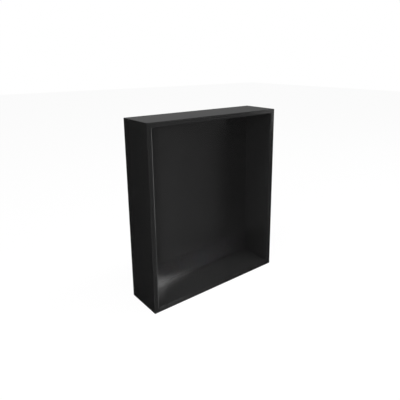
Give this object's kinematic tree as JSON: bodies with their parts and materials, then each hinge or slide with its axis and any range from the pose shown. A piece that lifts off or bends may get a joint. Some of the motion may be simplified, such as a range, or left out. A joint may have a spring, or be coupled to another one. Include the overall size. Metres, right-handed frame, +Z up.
{
  "type": "shower niche insert",
  "caption": "Thick-walled rectangular box with an open front, recessed into a shower wall between studs to hold bottles and soap; flat rim, rounded mouth edge, satin black.",
  "frame": {"origin": "middle of the underside", "axes": "+X to the right as seen from the open front, +Y into the wall, +Z up; the open front faces -Y"},
  "size_m": [0.3048, 0.0826, 0.3556],
  "materials": {
    "cast_black": "satin"
  },
  "bodies": {
    "root": {"niche_body": "cast_black"}
  },
  "joints": []
}
